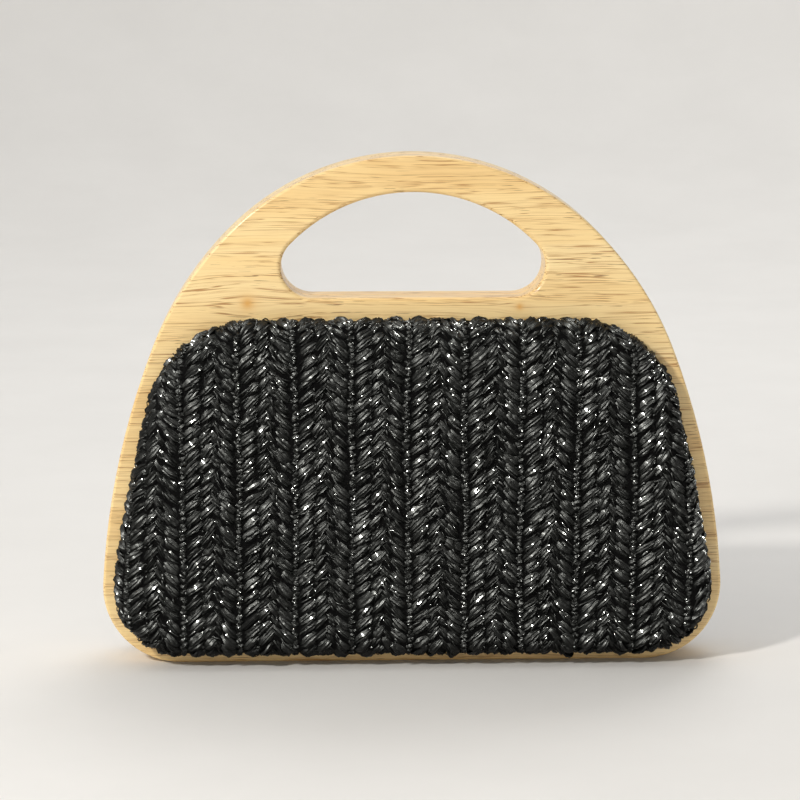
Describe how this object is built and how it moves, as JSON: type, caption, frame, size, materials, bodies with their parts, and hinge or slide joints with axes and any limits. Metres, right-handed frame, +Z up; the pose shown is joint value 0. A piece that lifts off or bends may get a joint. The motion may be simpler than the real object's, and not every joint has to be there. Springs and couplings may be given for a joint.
{
  "type": "clutch purse",
  "caption": "Hard clutch purse with two hinged wooden half-frames, a cut-out hand grip and a padded black straw panel on each side.",
  "frame": {"origin": "bottom centre of the shut purse, on the parting plane between its halves", "axes": "+X to the right seen from the front, -Y to the front, +Z up towards the grip"},
  "size_m": [0.2802, 0.056, 0.23],
  "materials": {
    "wood": "pale honey hardwood under a satin clear lacquer, grain along the width",
    "straw": "black glossy straw braid, stitched in upright rows",
    "padding": "soft wadding, off-white",
    "shell": "pressed board, dark grey",
    "lining": "plain woven cotton lining, beige",
    "magnet": "nickel-plated disc magnets",
    "brass": "polished brass",
    "steel": "bright steel"
  },
  "bodies": {
    "rear_half": {"rear_wood_frame": "wood", "rear_straw_cover": "straw", "rear_padding": "padding", "rear_shell": "shell", "rear_lining": "lining", "rear_magnets": "magnet", "rear_hinge_screws": "brass", "left_hinge_rear_leaf": "brass", "right_hinge_rear_leaf": "brass", "left_hinge_pin": "steel", "left_gusset": "lining", "right_hinge_pin": "steel", "right_gusset": "lining", "slip_pocket": "lining"},
    "front_half": {"front_wood_frame": "wood", "front_straw_cover": "straw", "front_padding": "padding", "front_shell": "shell", "front_lining": "lining", "front_magnets": "magnet", "front_hinge_screws": "brass", "left_hinge_front_leaf": "brass", "right_hinge_front_leaf": "brass"}
  },
  "joints": [
    {"name": "lid_hinge", "type": "hinge", "parent": "rear_half", "child": "front_half", "pos_m": [0, 0, 0.003], "axis": [1, 0, 0], "range_deg": [0, 45], "deforming": ["left_gusset", "right_gusset"]}
  ]
}
